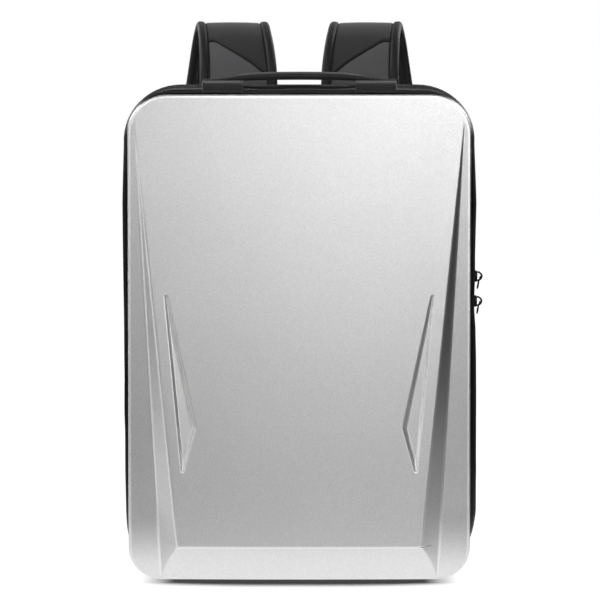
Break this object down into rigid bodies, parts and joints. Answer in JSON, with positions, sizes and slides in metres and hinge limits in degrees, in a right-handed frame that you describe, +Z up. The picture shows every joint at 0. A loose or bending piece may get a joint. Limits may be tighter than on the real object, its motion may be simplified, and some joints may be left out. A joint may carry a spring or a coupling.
{
  "type": "hard-shell travel backpack",
  "caption": "Travel backpack with a silver hard front shell, black zipped fabric body, top handle, padded back and two adjustable shoulder straps.",
  "frame": {"origin": "on the floor under the middle of the footprint, which is the middle of the flat underside", "axes": "+Z up, the hard front faces -Y, and the zip sliders are on the +X side, which is the right as seen from the front"},
  "size_m": [0.3501, 0.2573, 0.5271],
  "materials": {
    "shell_silver": "satin",
    "body_nylon": "matte",
    "zip_black": "satin",
    "strap_fabric": "matte",
    "webbing_black": "matte",
    "buckle_plastic": "satin",
    "slider_metal": "gloss"
  },
  "bodies": {
    "bag": {"front_shell": "shell_silver", "front_gusset": "body_nylon", "rear_body": "body_nylon", "zip_tape": "zip_black", "zip_coil": "zip_black", "zip_hinge": "body_nylon", "back_pad": "strap_fabric", "strap_yoke": "body_nylon", "top_handle": "webbing_black", "shoulder_strap_left": "strap_fabric", "shoulder_strap_right": "strap_fabric", "buckle_loop_left": "webbing_black", "buckle_loop_right": "webbing_black", "ladder_buckle_left": "buckle_plastic", "ladder_buckle_right": "buckle_plastic", "strap_webbing_left": "webbing_black", "strap_webbing_right": "webbing_black", "lower_anchor_left": "body_nylon", "lower_anchor_right": "body_nylon", "handle_patch_left": "body_nylon", "handle_patch_right": "body_nylon", "zip_slider_upper": "slider_metal", "zip_slider_lower": "slider_metal"},
    "pull_upper": {"zip_pull_upper": "slider_metal"},
    "pull_lower": {"zip_pull_lower": "slider_metal"}
  },
  "joints": [
    {"name": "upper_pull_swing", "type": "hinge", "parent": "bag", "child": "pull_upper", "pos_m": [0.1748, 0.037, 0.281], "axis": [0, -1, 0], "range_deg": [0, 150]},
    {"name": "lower_pull_swing", "type": "hinge", "parent": "bag", "child": "pull_lower", "pos_m": [0.17453, 0.037, 0.257], "axis": [0, -1, 0], "range_deg": [0, 150]}
  ]
}
